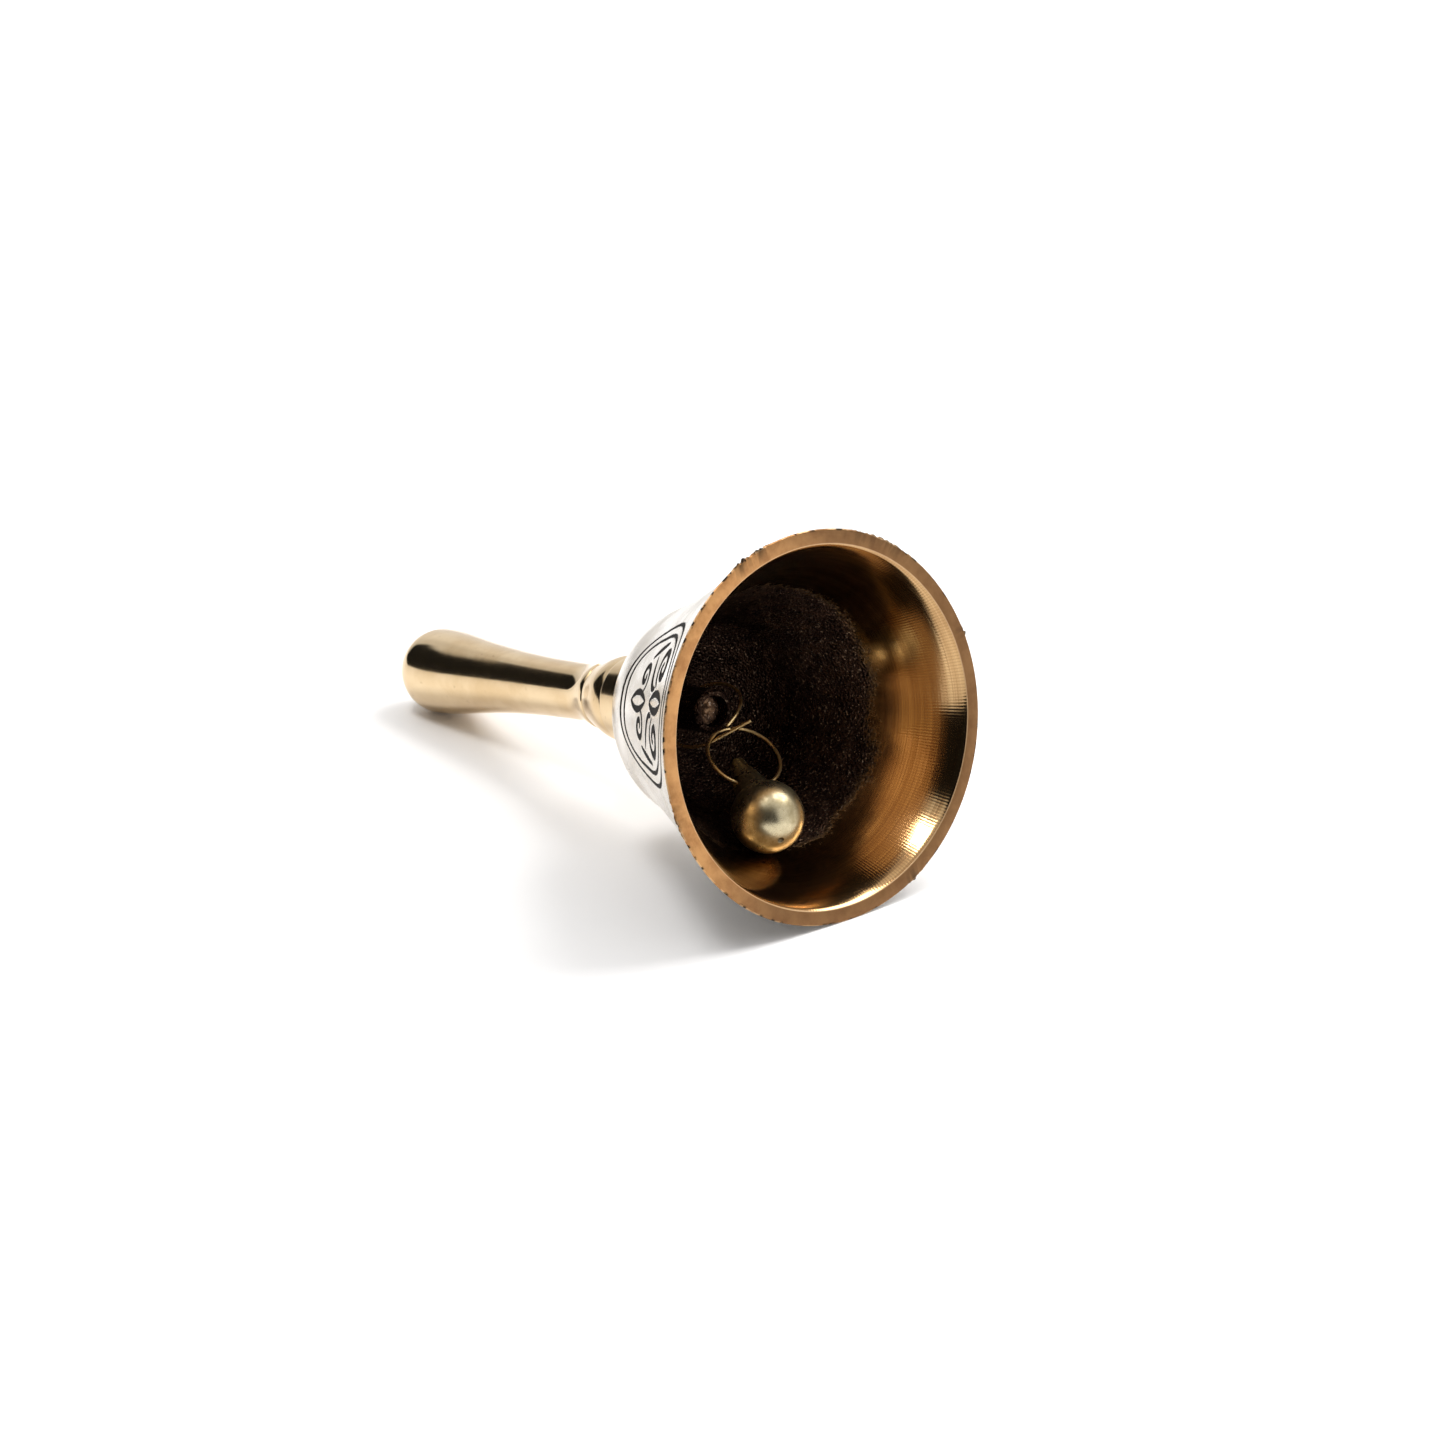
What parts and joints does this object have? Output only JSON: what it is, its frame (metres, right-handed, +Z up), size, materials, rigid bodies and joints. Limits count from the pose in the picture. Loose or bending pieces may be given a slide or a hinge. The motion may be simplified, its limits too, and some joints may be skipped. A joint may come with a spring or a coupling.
{
  "type": "service bell",
  "caption": "Small brass hand bell lying on its side: flared engraved cup, turned grip with a bulb end, and a ball clapper hung inside on wire rings.",
  "frame": {"origin": "on the floor, under the middle of the bell as it lies", "axes": "+X towards the mouth, level; +Z up; the bell's own axis rises 11.1 degrees above +X"},
  "size_m": [0.124, 0.06, 0.0588],
  "materials": {
    "cup_metal": "silver-plated and polished outside, bare turned brass inside",
    "turned_brass": "polished",
    "stud_metal": "rough, dulled",
    "wire": "drawn, slightly dulled",
    "clapper_brass": "turned, satin"
  },
  "bodies": {
    "bell": {"bell_cup": "cup_metal", "stud": "stud_metal", "base_ring": "turned_brass", "collar": "turned_brass", "handle": "turned_brass"},
    "hanger": {"hanger_ring": "wire"},
    "link": {"link_ring": "wire"},
    "clapper": {"clapper": "clapper_brass"}
  },
  "joints": [
    {"name": "hanger_swing", "type": "hinge", "parent": "bell", "child": "hanger", "pos_m": [0.0183, 0, 0.02194], "axis": [0.1117, -0.8161, -0.567], "range_deg": [0, 25]},
    {"name": "link_swing", "type": "hinge", "parent": "hanger", "child": "link", "pos_m": [0.03022, -0.00075, 0.02038], "axis": [0.9811, 0, 0.1933], "range_deg": [-24, 6]},
    {"name": "clapper_swing", "type": "hinge", "parent": "link", "child": "clapper", "pos_m": [0.03883, -0.00182, 0.01534], "axis": [-0.1897, -0.9563, 0.2227], "range_deg": [0, 105]}
  ]
}
